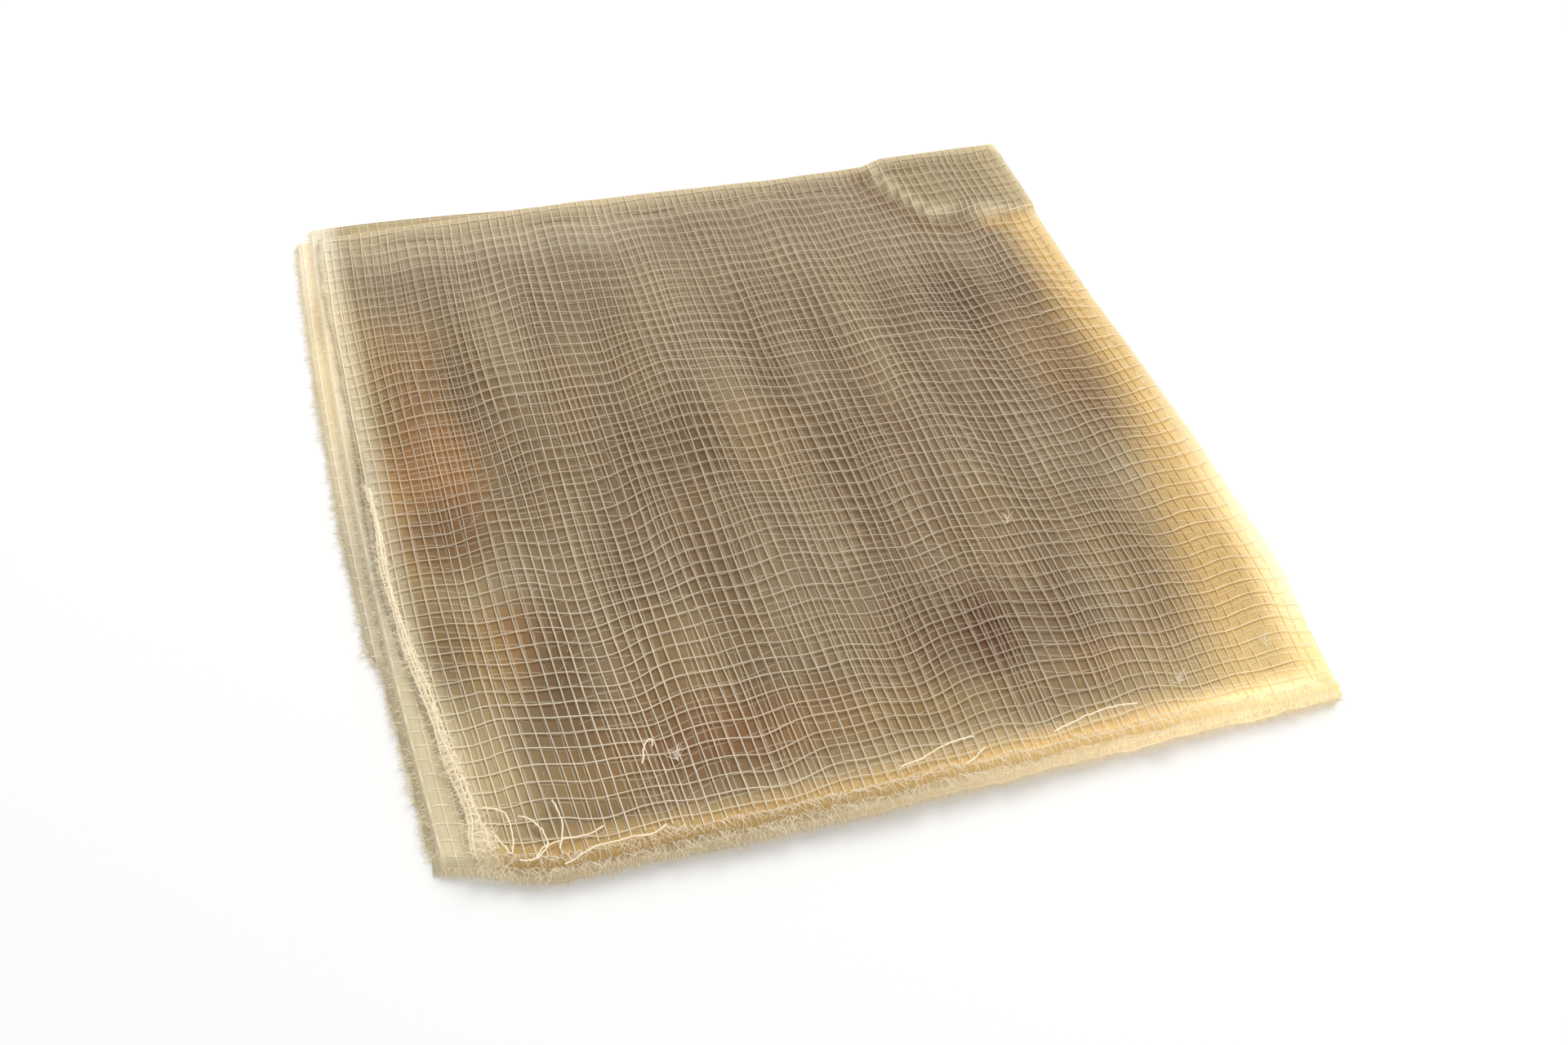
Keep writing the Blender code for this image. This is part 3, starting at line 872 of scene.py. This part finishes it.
# %% Tree of the weave
def weave_tree():
    inputs = {"Yarn Pitch": 0.001, "Crossing Pitch": 0.001, "Across From": 0.0,
              "Across To": 0.01, "Along From": 0.0, "Along To": 0.01, "Step": 0.001,
              "Radius": 0.0001, "Wave": 0.0001, "Wander": 0.0001, "Uneven": 0.0001,
              "Overhang": 0.0, "Ragged": 0.0, "Is Weft": 0, "Seed": 0.0, "Material": None}
    graph, given = geometry_tree("weave", inputs)
    pitch, step = given["Yarn Pitch"], given["Step"]
    first = (given["Across From"] / pitch - 0.5).call("CEIL")
    last = (given["Across To"] / pitch - 0.5).call("FLOOR")
    length = given["Along To"] - given["Along From"]
    count = (length / step).call("ROUND").call("MAXIMUM", 1.0) + 1.0
    lines = graph.add("GeometryNodeMeshGrid", {}, {
        "Size X": (last - first) * pitch, "Size Y": length,
        "Vertices X": last - first + 1.0, "Vertices Y": count})
    ends = graph.add("GeometryNodeInputMeshEdgeVertices", output=None)
    apart = graph.parts(graph.combine("SUBTRACT", ends["Position 1"], ends["Position 2"]))
    crosswise = apart["X"].call("ABSOLUTE") > apart["Y"].call("ABSOLUTE")
    lines = graph.add("GeometryNodeDeleteGeometry", {"domain": "EDGE", "mode": "EDGE_FACE"},
                      {"Geometry": lines, "Selection": crosswise})

    grid = graph.parts(graph.add("GeometryNodeInputPosition"))
    across = grid["X"] + ((first + last) * 0.5 + 0.5) * pitch
    along = grid["Y"] + (given["Along From"] + given["Along To"]) * 0.5
    number = (across / pitch - 0.5).call("ROUND")
    crossing = (number + along / given["Crossing Pitch"] - 0.5) * math.pi
    is_weft = given["Is Weft"]
    over = crossing.call("COSINE") * (1.0 - 2.0 * is_weft) * given["Wave"]

    place = graph.vector(number * 0.013, along, given["Seed"])
    slow = graph.noise(place, 90.0, 1.5) - 0.5
    quick = graph.noise(place, 420.0, 1.0) - 0.5
    own = graph.noise(graph.vector(number * 7.3, given["Seed"], is_weft * 3.1), 1.0, 0.0) - 0.5
    aside = slow * 2.0 * given["Wander"] + quick * 0.5 * given["Wander"]
    moved = across + aside + own * 2.0 * given["Uneven"]
    s = moved + (along - moved) * is_weft
    q = along + (moved - along) * is_weft
    flat = graph.vector((s + BEYOND) / (SHEET_WIDTH + 2 * BEYOND),
                        (q + BEYOND) / (SHEET_LENGTH + 2 * BEYOND))

    guide = given["Geometry"]
    chart = graph.attribute("flat", "FLOAT_VECTOR")

    def read(value, kind):
        return graph.add("GeometryNodeSampleUVSurface", {"data_type": kind},
                         {"Mesh": guide, "Value": value, "Source UV Map": chart,
                          "Sample UV": flat})

    inside = read(graph.attribute("inside"), "FLOAT")
    position = read(graph.add("GeometryNodeInputPosition"), "FLOAT_VECTOR")
    normal = read(graph.add("GeometryNodeInputNormal"), "FLOAT_VECTOR")
    tint = read(graph.attribute("tint", "FLOAT_VECTOR"), "FLOAT_VECTOR")
    sunk = read(graph.attribute("sunk"), "FLOAT") * (1.0 - is_weft)
    over = over + read(graph.attribute("out"), "FLOAT") - sunk * YARN_OUT
    fray = graph.noise(graph.vector(number * 3.7, given["Seed"], 5.0), 1.0, 0.0)
    allowed = (fray - 0.35) * given["Ragged"] - given["Overhang"]
    body = graph.noise(place, 900.0, 1.0)
    clean = read(graph.attribute("clean"), "FLOAT") - sunk * 2.0
    tone = (own + 0.5) * 0.6 + body * 0.4 + clean

    for name, kind, value in (("tint", "FLOAT_VECTOR", tint), ("tone", "FLOAT", tone),
                              ("girth", "FLOAT", (body * 0.7 + 0.65) * (own * 0.6 + 1.0))):
        lines = graph.store(lines, name, value, kind)
    dropped = graph.store(lines, "dropped", allowed > inside)
    lifted = graph.combine("ADD", position, graph.scaled(normal, over))
    placed = graph.moved(dropped, {"Position": lifted})
    kept = graph.add("GeometryNodeDeleteGeometry", {"domain": "POINT"},
                     {"Geometry": placed, "Selection": graph.attribute("dropped") > 0.5})
    curves = graph.add("GeometryNodeMeshToCurve", {}, {"Mesh": kept})
    tubes = graph.tubes(curves, YARN_SIDES, given["Radius"], graph.attribute("girth"))
    finish_tree(graph, tubes, given["Material"])
    return graph.tree


WEAVE = weave_tree()


# %% Yarns over windows of the sheet
YARN_HABITS = (
    {"Wander": 0.00012, "Overhang": 0.0003, "Ragged": 0.0012},
    {"Wander": 0.00030, "Overhang": 0.0001, "Ragged": 0.0008},
)


def weave(window, material, guide=None, pitches=(WARP_PITCH, WEFT_PITCH),
          steps=(WEFT_PITCH / 2, WARP_PITCH), **changes):
    """Warps and wefts over a window (s from, s to, q from, q to) of the flat sheet."""
    made = []
    for is_weft, habits in enumerate(YARN_HABITS):
        across, along = (window[:2], window[2:])[::-1 if is_weft else 1]
        made.append(run_tree(WEAVE, guide or GUIDE, {
            "Yarn Pitch": pitches[is_weft], "Crossing Pitch": pitches[1 - is_weft],
            "Across From": across[0], "Across To": across[1], "Along From": along[0],
            "Along To": along[1], "Step": steps[is_weft], "Radius": YARN_RADIUS,
            "Wave": YARN_WAVE, "Uneven": 0.00014, "Is Weft": is_weft, "Seed": 1.0,
            "Material": material, **habits, **changes}))
    return made


FRONT = 0.006
TURN_HALF = 0.004
FIRST_HALF = (FRONT, SHEET_LENGTH / 2 - TURN_HALF)
SECOND_HALF = (SHEET_LENGTH / 2 + TURN_HALF, SHEET_LENGTH - FRONT)
TOP_OPEN = TOP_PANEL_START + 0.004
SHEET_END = SHEET_WIDTH + 0.0015

net_top = piece("net_top", weave((TOP_OPEN, SHEET_END, *FIRST_HALF), YARN_TOP))
net_second = piece("net_second", weave((TOP_OPEN, SHEET_END, *SECOND_HALF), YARN_DEEP,
                                       Radius=0.000065))

# %% Yarns round the pleats and the back folds, and at the cut ends
side_windows = []
for start, end in pleats:
    for half in (FIRST_HALF, SECOND_HALF):
        reach = (start - 0.006, end + (0.004 if start == pleats[-1][0] else 0.006))
        side_windows += weave((*reach, *half), YARN_TOP, steps=(WEFT_PITCH / 2, 0.00045))
for half in (FIRST_HALF, SECOND_HALF):
    side_windows += weave((-0.001, 0.008, *half), YARN_TOP)
net_sides = piece("net_sides", side_windows)

back = (SHEET_LENGTH / 2 - TURN_HALF, SHEET_LENGTH / 2 + TURN_HALF)
front_first = (-0.0015, FRONT)
front_second = (SHEET_LENGTH - FRONT, SHEET_LENGTH + 0.0015)
net_back = piece("net_back", weave((-0.001, SHEET_END, *back), YARN_TOP,
                                   steps=(0.0004, WARP_PITCH)))
net_front = piece("net_front", [
    mesh for ends in (front_first, front_second)
    for mesh in weave((-0.001, SHEET_END, *ends), YARN_TOP, steps=(0.0008, WARP_PITCH))])

# %% [markdown]
# ## Loose fibres
#
# Cut gauze is full of loose ends. One tree scatters curved hairs over any strip or patch:
# points on its faces, a line on each, bent by noise more and more towards its tip, and swept
# into a thin tube that tapers.

# %% Tree of the fibres
def fibre_tree():
    inputs = {"Density": 1000.0, "Length": 0.001, "Curl": 0.001, "Radius": 0.00003,
              "Yaw": 0.0, "Spread": 0.5, "Low": 0.0, "High": 0.5, "Seed": 0,
              "Material": None}
    graph, given = geometry_tree("fibres", inputs)

    def chance(low, high, number):
        return graph.add("FunctionNodeRandomValue", {"data_type": "FLOAT"},
                         {2: low, 3: high, 8: given["Seed"] + number}, 1)

    points = graph.add("GeometryNodeDistributePointsOnFaces", {}, {
        "Mesh": given["Geometry"], "Density": given["Density"], "Seed": given["Seed"]})
    points = graph.store(points, "tone", chance(0.0, 1.0, 1.0))
    line = graph.add("GeometryNodeCurvePrimitiveLine", {},
                     {"Start": (0.0, 0.0, 0.0), "End": (1.0, 0.0, 0.0)})
    line = graph.add("GeometryNodeResampleCurve", {}, {"Curve": line, "Count": 7})
    line = graph.store(line, "reach", graph.add("GeometryNodeSplineParameter"))
    yaw = given["Yaw"] + chance(-1.0, 1.0, 2.0) * given["Spread"]
    pitch = chance(given["Low"], given["High"], 3.0)
    hairs = graph.add("GeometryNodeInstanceOnPoints", {}, {
        "Points": points, "Instance": line, "Rotation": graph.vector(0.0, 0.0 - pitch, yaw),
        "Scale": chance(0.45, 1.40, 4.0) * given["Length"]})
    hairs = graph.add("GeometryNodeRealizeInstances", {}, {"Geometry": hairs})
    reach = graph.attribute("reach")
    hairs = graph.moved(hairs, {"Offset": graph.wobble(700.0, reach * given["Curl"])})
    spot = graph.parts(graph.add("GeometryNodeInputPosition"))
    height = spot["Z"].call("MAXIMUM", given["Radius"])
    hairs = graph.moved(hairs, {"Position": graph.vector(spot["X"], spot["Y"], height)})
    tubes = graph.tubes(hairs, HAIR_SIDES, given["Radius"], 1.0 - reach * 0.6)
    finish_tree(graph, tubes, given["Material"])
    return graph.tree


FIBRES = fibre_tree()


def fibres(base, count, **changes):
    """About that many hairs over a base mesh."""
    area = sum(face.area for face in base.polygons)
    return run_tree(FIBRES, base,
                    {"Density": count / area, "Material": YARN_LOOSE, **changes})


# %% Fringe along the cut ends
DOWN, LEVEL = math.radians(-80), math.radians(-20)
TO_FRONT, TO_LEFT = math.radians(-90), math.radians(180)


def strip(name, s, q, width):
    """A narrow strip along a row of flat points; the width is (across, along) the sheet."""
    rows = np.stack([s, s + width[0]]), np.stack([q, q + width[1]])
    return sheet_mesh(name, *rows)


fringe_meshes = []
low_panels = s[:, 0] < TOP_PANEL_START
for column, inwards in ((0, 0.0003), (-1, -0.0003)):
    edge_s, edge_q = s[:, column], q[:, column]
    lower = strip("lower_end", edge_s[low_panels], edge_q[low_panels], (0, inwards))
    upper = strip("upper_end", edge_s[~low_panels], edge_q[~low_panels], (0, inwards))
    fringe_meshes += [
        fibres(lower, 1850, Length=0.0010, Curl=0.0006, Yaw=TO_FRONT, Spread=0.5, Low=DOWN,
               High=LEVEL, Seed=3 + column, Radius=0.000040),
        fibres(upper, 600, Length=0.0018, Curl=0.0022, Yaw=TO_FRONT, Spread=1.1, Low=-0.35,
               High=0.30, Seed=9 + column, Radius=0.000050)]
fringe = piece("fringe", fringe_meshes)

# %% Fuzz along the left side
fuzz_meshes = []
rows = q[0, 1:-1]
left_pleat = (pleats[1][0] + pleats[1][1]) / 2
for number, (place, inwards, count, length) in enumerate((
        (s[0, 1:-1], 0.0004, 1700, 0.0009), (left_pleat + 0 * rows, 0.0003, 1100, 0.0008),
        (s[-1, 1:-1], -0.0010, 420, 0.0012))):
    base = strip("left_side", place, rows, (inwards, 0))
    fuzz_meshes.append(fibres(base, count, Length=length, Curl=0.0020, Yaw=TO_LEFT,
                              Spread=0.9, Low=-0.5, High=0.5, Seed=20 + number,
                              Radius=0.000036))
side_fuzz = piece("side_fuzz", fuzz_meshes)

# %% Fine hairs over the top
top_s, top_q = np.meshgrid(np.linspace(TOP_PANEL_START + 0.002, SHEET_WIDTH - 0.002, 50),
                           np.linspace(0.002, HALF_LENGTH - 0.002, 50), indexing="ij")
top_patch = sheet_mesh("top_patch", top_s, top_q)
top_fuzz = piece("top_fuzz", [
    fibres(top_patch, 1100, Length=0.0013, Curl=0.0012, Yaw=0.0, Spread=math.pi, Low=-0.05,
           High=0.35, Seed=31, Radius=0.000018)])

# %% [markdown]
# ## The rolled edge
#
# The top ply's free edge has rolled up on itself, more and more towards the front, into a
# thin lace of bunched yarns. The roll is a spiral surface of its own over the same flat
# sheet, and the same weave runs over it, closer and looser. Frayed ends stand out of it.

# %% Roll and its frayed ends
ROLL_LENGTH = 0.0605
ROLL_ROUND = 0.0080
ROLL_TURNS = 1.35


def roll_mesh():
    """Spiral guide of the roll; round it on the sheet is s and along it is q."""
    s, q = np.meshgrid(np.linspace(0.0, ROLL_ROUND, 45), np.linspace(0.0, ROLL_LENGTH, 90),
                       indexing="ij")
    y = q - HALF_DEPTH + 0.0014
    grown = smooth((-0.002 - y) / 0.045)
    uneven = 1 + 0.45 * ripple(q, s * 0.1, 0.0060, 3)
    tuft = 0.00045 * smooth((0.0050 - q) / 0.004)
    radius = (0.00034 + 0.00040 * grown + tuft) * uneven * (0.65 + 0.35 * s / ROLL_ROUND)
    angle = math.tau * ROLL_TURNS * s / ROLL_ROUND - 2.2
    middle = top_edge(y) + 0.0009 + 0.0003 * ripple(q, 0 * q, 0.013, 8)
    x, y, z = settle(middle, y, np.full_like(y, 7.1 * PITCH))
    flat_height = 0.62
    points = np.stack([x + radius * np.cos(angle), y,
                       z + flat_height * radius * (1 + np.sin(angle))], -1)
    tint = np.zeros_like(points) + (0.90, 0.84, 0.67)
    inside = np.minimum(q - 0.0004, ROLL_LENGTH - q)
    return grid_mesh("roll", points, chart(s, q),
                     {"tint": tint, "inside": inside, "out": np.zeros_like(s)})


ROLL = roll_mesh()
roll_net = weave((0.0, ROLL_ROUND, 0.0, ROLL_LENGTH), YARN_LOOSE, ROLL, (0.00110, 0.0012),
                 (0.0007, 0.0004), Wander=0.00170, Uneven=0.00045, Ragged=0.0030,
                 Radius=0.000100)
roll_ends = fibres(ROLL, 900, Length=0.0013, Curl=0.0024, Yaw=TO_LEFT, Spread=2.6, Low=-0.4,
                   High=0.7, Seed=41, Radius=0.000042)
rolled_edge = piece("rolled_edge", [*roll_net, roll_ends])

# %% [markdown]
# ## Loose strands and lint
#
# Some yarns have come free near the front left corner and lie across the weave, and a few
# specks of white lint stick to the top. Their places are read from the photo, in millimetres
# over the plan, with the height above the table.

# %% Strands that have come free
STRANDS = (
    (2.9, (-40.7, -51.3), (-40.4, -53.0), (-40.5, -55.2), (-41.4, -57.6)),
    (2.6, (-45.8, -58.5), (-44.3, -58.3), (-43.1, -57.0), (-41.5, -56.5), (-39.6, -56.4),
     (-37.6, -56.2), (-36.2, -55.7)),
    (2.8, (-44.1, -58.5), (-42.5, -56.7), (-42.7, -54.8), (-43.4, -53.4), (-44.7, -52.8)),
    (2.9, (-41.4, -59.5), (-39.6, -59.0), (-38.0, -58.3), (-36.0, -58.1), (-34.0, -58.0),
     (-31.5, -58.0), (-29.6, -57.3)),
    (2.8, (-48.1, -51.9), (-45.9, -52.8), (-46.4, -57.9), (-47.7, -55.6)),
    (3.9, (-2.5, -57.1), (0.0, -56.7), (2.8, -55.8), (5.7, -55.4), (7.3, -55.3)),
    (3.2, (5.3, -58.3), (6.7, -57.7), (8.3, -56.6)),
    (4.0, (16.7, -57.3), (19.9, -56.6), (24.2, -55.9), (28.1, -56.1)),
    (4.4, (-30.2, -49.9), (-29.2, -47.2), (-28.4, -46.9), (-28.6, -47.9)),
)
LINT = ((23.6, -23.1), (34.9, -53.6), (48.2, -50.4), (-26.1, -48.8))


def strand_tree():
    inputs = {"Radius": 0.0001, "Material": None}
    graph, given = geometry_tree("strands", inputs)
    curves = graph.add("GeometryNodeMeshToCurve", {}, {"Mesh": given["Geometry"]})
    curves = graph.add("GeometryNodeCurveSplineType", {"spline_type": "CATMULL_ROM"},
                       {"Curve": curves})
    curves = graph.add("GeometryNodeResampleCurve", {}, {"Curve": curves, "Count": 36})
    curves = graph.moved(curves, {"Offset": graph.wobble(900.0, 0.0005)})
    place = graph.add("GeometryNodeInputPosition")
    girth = graph.noise(place, 1500.0, 1.0) * 0.8 + 0.6
    tubes = graph.tubes(curves, STRAND_SIDES, given["Radius"], girth)
    finish_tree(graph, tubes, given["Material"])
    return graph.tree


def strand_lines():
    """The strands as one mesh of edges, a little above the surface that they lie on."""
    points, edges = [], []
    for height, *places in STRANDS:
        first = len(points)
        for x, y in places:
            surface = settle(x / 1000, y / 1000, 7 * PITCH + OUTER / 2)
            points.append((surface[0], surface[1], max(surface[2], height / 1000)))
        edges += [(i, i + 1) for i in range(first, len(points) - 1)]
    mesh = bpy.data.meshes.new("strands")
    mesh.from_pydata(points, edges, [])
    keep_values(mesh, "tint", np.tile((0.95, 0.88, 0.70), (len(points), 1)))
    keep_values(mesh, "tone", np.full(len(points), 0.9))
    return mesh


loose_strands = piece("loose_strands", [
    run_tree(strand_tree(), strand_lines(), {"Radius": 0.00009, "Material": YARN_LOOSE})])


# %% Specks of lint
def lint_patch(x, y):
    """A small slanting patch just above the top ply."""
    corners = ((-0.2, -0.7), (0.2, -0.7), (0.1, 0.7), (0.5, 0.7))
    places = [settle((x + dx) / 1000, (y + dy) / 1000, 7 * PITCH + PLY) for dx, dy in corners]
    points = np.array(places).reshape(2, 2, 3)
    return grid_mesh("lint", points, np.zeros((2, 2, 2)),
                     {"tint": np.zeros((2, 2, 3)) + (0.90, 0.93, 1.0)})


lint = piece("lint", [
    fibres(lint_patch(x, y), 16, Length=0.0012, Curl=0.0008, Yaw=1.2, Spread=1.6, Low=-0.2,
           High=0.8, Seed=60 + number, Radius=0.000036)
    for number, (x, y) in enumerate(LINT)])

# %% [markdown]
# ## Camera, floor and light
#
# The camera stands where the packet's six clearest corners fall on their places in the
# photo. The floor is white and keeps the soft shadow.

# %% Camera
AZIMUTH = math.radians(-19.79)
ELEVATION = math.radians(43.36)
TILT = math.radians(4.66)
DISTANCE = 0.2292
TARGET = Vector((-0.00231, -0.01312, 0.0))
LENS = 41.79
SENSOR_WIDTH = 36.0
NEAREST = 0.01


def place_camera():
    away = Vector((math.cos(ELEVATION) * math.sin(AZIMUTH),
                   -math.cos(ELEVATION) * math.cos(AZIMUTH), math.sin(ELEVATION)))
    right = (-away).cross(Vector((0, 0, 1))).normalized()
    up = right.cross(-away)
    turned_right = math.cos(TILT) * right + math.sin(TILT) * up
    turned_up = math.cos(TILT) * up - math.sin(TILT) * right
    camera = shown("camera", bpy.data.cameras.new("camera"))
    camera.data.lens = LENS
    camera.data.sensor_width = SENSOR_WIDTH
    camera.data.clip_start = NEAREST
    axes = (turned_right, turned_up, away, TARGET + DISTANCE * away)
    rows = [[axis[i] for axis in axes] for i in range(3)]
    camera.matrix_world = Matrix((*rows, (0, 0, 0, 1)))
    bpy.context.scene.camera = camera


place_camera()

# %% Floor and world
FLOOR_SIZE = 4.0
WHITE_FROM, WHITE_TO = 0.085, 0.210
SKY = 0.62
BACKGROUND = 1.0


def white_floor():
    mesh = bpy.data.meshes.new("floor")
    half = FLOOR_SIZE / 2
    mesh.from_pydata([(-half, -half, 0), (half, -half, 0), (half, half, 0), (-half, half, 0)],
                     [], [(0, 1, 2, 3)])
    material, graph = material_graph("white_floor")
    lit = graph.add("ShaderNodeBsdfDiffuse", {}, {"Color": (0.92, 0.92, 0.92, 1.0)})
    plain = graph.add("ShaderNodeEmission", {}, {"Color": (1.0, 1.0, 1.0, 1.0)})
    place = graph.add("ShaderNodeTexCoord", {}, {}, "Object")
    away = graph.add("ShaderNodeVectorMath", {"operation": "LENGTH"}, {0: place}, 1)
    far = graph.add("ShaderNodeMapRange", {"interpolation_type": "SMOOTHSTEP"},
                    {"Value": away, "From Min": WHITE_FROM, "From Max": WHITE_TO})
    surface = graph.add("ShaderNodeMixShader", {}, {0: far, 1: lit, 2: plain})
    graph.end("ShaderNodeOutputMaterial", surface)
    mesh.materials.append(material)
    return shown("floor", mesh)


def sky():
    world = bpy.data.worlds.new("sky")
    world.use_nodes = True
    world.node_tree.nodes.clear()
    graph = Graph(world.node_tree)
    seen = graph.add("ShaderNodeLightPath", {}, {}, "Is Camera Ray")
    light = graph.add("ShaderNodeBackground", {},
                      {"Color": (0.96, 0.98, 1.0, 1.0), "Strength": SKY})
    white = graph.add("ShaderNodeBackground", {},
                      {"Color": (1.0, 1.0, 1.0, 1.0), "Strength": BACKGROUND})
    both = graph.add("ShaderNodeMixShader", {}, {0: seen, 1: light, 2: white})
    graph.end("ShaderNodeOutputWorld", both)
    bpy.context.scene.world = world


floor = white_floor()
sky()


# %% Lamps
def area_lamp(name, place, size, power, colour):
    lamp = bpy.data.lights.new(name, "AREA")
    lamp.shape = "DISK"
    lamp.size = size
    lamp.energy = power
    lamp.color = colour
    holder = shown(name, lamp)
    holder.location = place
    holder.rotation_mode = "QUATERNION"
    holder.rotation_quaternion = (-Vector(place)).to_track_quat("-Z", "Y")


area_lamp("key", (0.32, 0.45, 0.60), 0.55, 5.3, (1.0, 0.97, 0.92))
area_lamp("fill", (0.05, -0.75, 0.20), 0.40, 0.8, (1.0, 0.98, 0.95))

scene = bpy.context.scene
scene.view_settings.view_transform = "Standard"

# %% [markdown]
# ## Pieces
#
# The film stands for the part's solid and the yarns ride with it.

# %% Roles of the pieces
yarns = [net_top, net_second, net_sides, net_back, net_front, fringe, side_fuzz, top_fuzz,
         rolled_edge, loose_strands, lint]
for member in [gauze_sheet, *yarns]:
    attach(member, "root")
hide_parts("folded_cloth")
